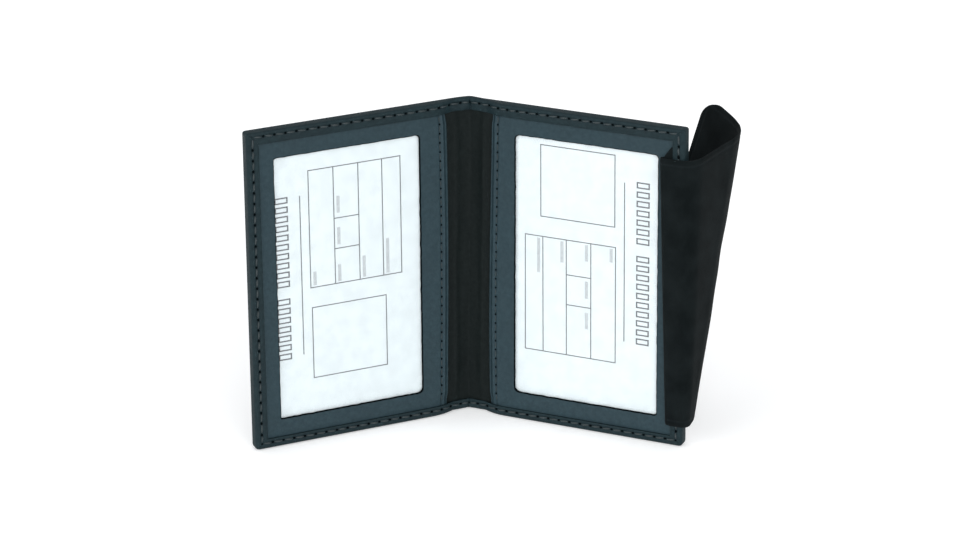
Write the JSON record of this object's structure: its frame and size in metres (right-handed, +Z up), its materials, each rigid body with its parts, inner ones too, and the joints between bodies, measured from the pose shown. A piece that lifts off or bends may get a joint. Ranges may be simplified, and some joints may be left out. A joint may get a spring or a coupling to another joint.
{
  "type": "folding credential case",
  "caption": "Folding leather case with a window pocket and a card in each panel, and a loose suede leaf sewn to one outer edge; it stands open on its lower edges.",
  "frame": {"origin": "foot of the spine, in the middle of the outer leather, on the surface the case stands on", "axes": "+X to the right along both open panels, +Y to the back, away from the card windows, +Z up the spine"},
  "size_m": [0.1575, 0.0461, 0.108],
  "materials": {
    "outer_leather": "fine grained, semi-matt",
    "frame_leather": "fine grained, semi-matt",
    "lining": "smooth, matt",
    "leaf_suede": "napped suede, matt",
    "board": "pressed fibre board",
    "clear_pane": "clear flexible film",
    "card": "printed card",
    "thread": "waxed sewing thread"
  },
  "bodies": {
    "spine": {"shell_spine": "outer_leather", "spine_lining": "lining", "spine_thread": "thread"},
    "left_panel": {"shell_left": "outer_leather", "stiffener_left": "board", "pocket_back_left": "lining", "window_frame_left": "frame_leather", "window_pane_left": "clear_pane", "hem_thread_left": "thread", "pocket_thread_left": "thread"},
    "right_panel": {"shell_right": "outer_leather", "stiffener_right": "board", "pocket_back_right": "lining", "window_frame_right": "frame_leather", "window_pane_right": "clear_pane", "hem_thread_right": "thread", "pocket_thread_right": "thread", "leaf_root": "leaf_suede"},
    "left_card": {"identity_card_left": "card"},
    "right_card": {"identity_card_right": "card"},
    "leaf_base": {"leaf_base": "leaf_suede"},
    "leaf_wall": {"leaf_wall": "leaf_suede"},
    "leaf_curl": {"leaf_curl": "leaf_suede"},
    "leaf_back": {"leaf_back": "leaf_suede"}
  },
  "joints": [
    {"name": "left_fold", "type": "hinge", "parent": "spine", "child": "left_panel", "pos_m": [-0.00587, -0.00403, 0.054], "axis": [0, 0, 1], "range_deg": [-24, 66]},
    {"name": "right_fold", "type": "hinge", "parent": "spine", "child": "right_panel", "pos_m": [0.00587, -0.00403, 0.054], "axis": [0, 0, -1], "range_deg": [-24, 66]},
    {"name": "left_card_slide", "type": "slide", "parent": "left_panel", "child": "left_card", "axis": [0.9135, 0.4067, 0], "range_m": [0, 0.0072]},
    {"name": "right_card_slide", "type": "slide", "parent": "right_panel", "child": "right_card", "axis": [-0.9135, 0.4067, 0], "range_m": [0, 0.0072]},
    {"name": "leaf_swing", "type": "hinge", "parent": "right_panel", "child": "leaf_base", "pos_m": [0.06137, -0.03181, 0.054], "axis": [0, 0, -1], "range_deg": [0, 179]},
    {"name": "leaf_edge_bend", "type": "hinge", "parent": "leaf_base", "child": "leaf_wall", "pos_m": [0.06922, -0.03531, 0.0056], "axis": [-0.0159, 0.0071, -0.9998], "range_deg": [0, 72]},
    {"name": "leaf_curl_bend", "type": "hinge", "parent": "leaf_wall", "child": "leaf_curl", "pos_m": [0.0719, -0.03234, 0.00565], "axis": [-0.1498, -0.1422, -0.9784], "range_deg": [0, 37.5]},
    {"name": "leaf_back_bend", "type": "hinge", "parent": "leaf_curl", "child": "leaf_back", "pos_m": [0.07254, -0.02578, 0.00607], "axis": [-0.1498, -0.1413, -0.9786], "range_deg": [0, 37.5]}
  ],
  "couplings": [
    {"joint": "right_fold", "follows": "left_fold", "ratio": 1},
    {"joint": "leaf_edge_bend", "follows": "leaf_swing", "ratio": 0.40223},
    {"joint": "leaf_curl_bend", "follows": "leaf_swing", "ratio": 0.2095},
    {"joint": "leaf_back_bend", "follows": "leaf_swing", "ratio": 0.2095}
  ]
}
